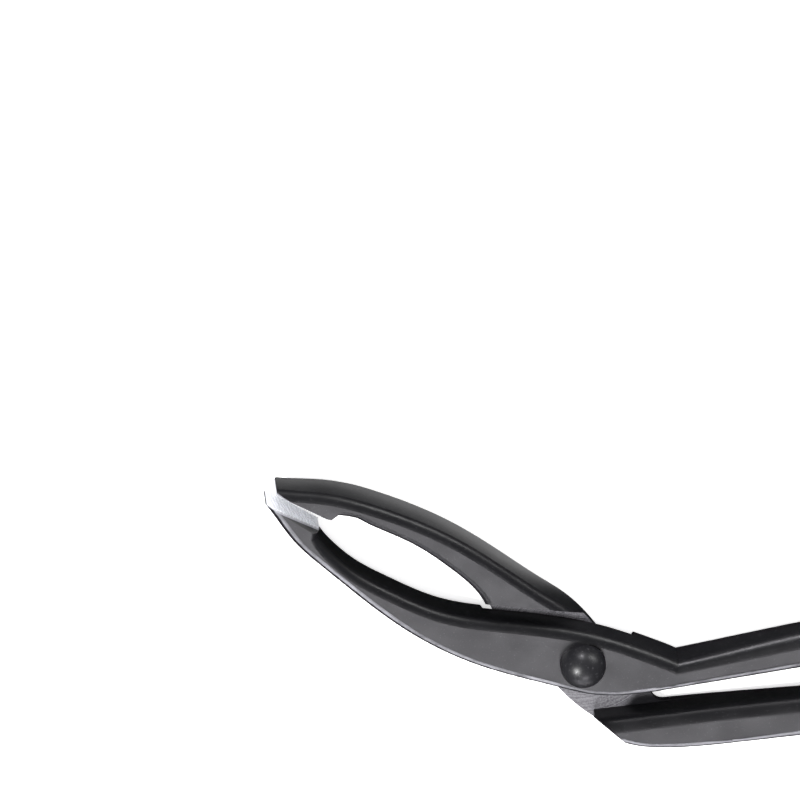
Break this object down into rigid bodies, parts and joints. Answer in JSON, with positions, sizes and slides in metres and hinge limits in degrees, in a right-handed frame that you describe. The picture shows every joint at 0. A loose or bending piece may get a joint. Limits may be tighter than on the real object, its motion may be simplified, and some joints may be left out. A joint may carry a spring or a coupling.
{
  "type": "scissor-handle tweezers",
  "caption": "Cranked scissor-handle tweezers: crossed levers on a domed rivet, finger rings, a window between the jaws and ribbed blunt tips.",
  "frame": {"origin": "on the rivet's axis, in the plane that the backs of the levers rest on", "axes": "+Z along the rivet towards its domed head, +X along the closed seam towards the tips, +Y towards the front lever's jaw"},
  "size_m": [0.1065, 0.0615, 0.0063],
  "materials": {
    "black_finish": "satin black with bare steel on the gripping lands",
    "rivet_finish": "glossy black"
  },
  "bodies": {
    "front": {"front_lever": "black_finish", "pivot_rivet": "rivet_finish"},
    "rear": {"rear_lever": "black_finish"}
  },
  "joints": [
    {"name": "pivot", "type": "hinge", "parent": "front", "child": "rear", "pos_m": [0, 0, 0], "axis": [0, 0, -1], "range_deg": [-2, 30]}
  ]
}
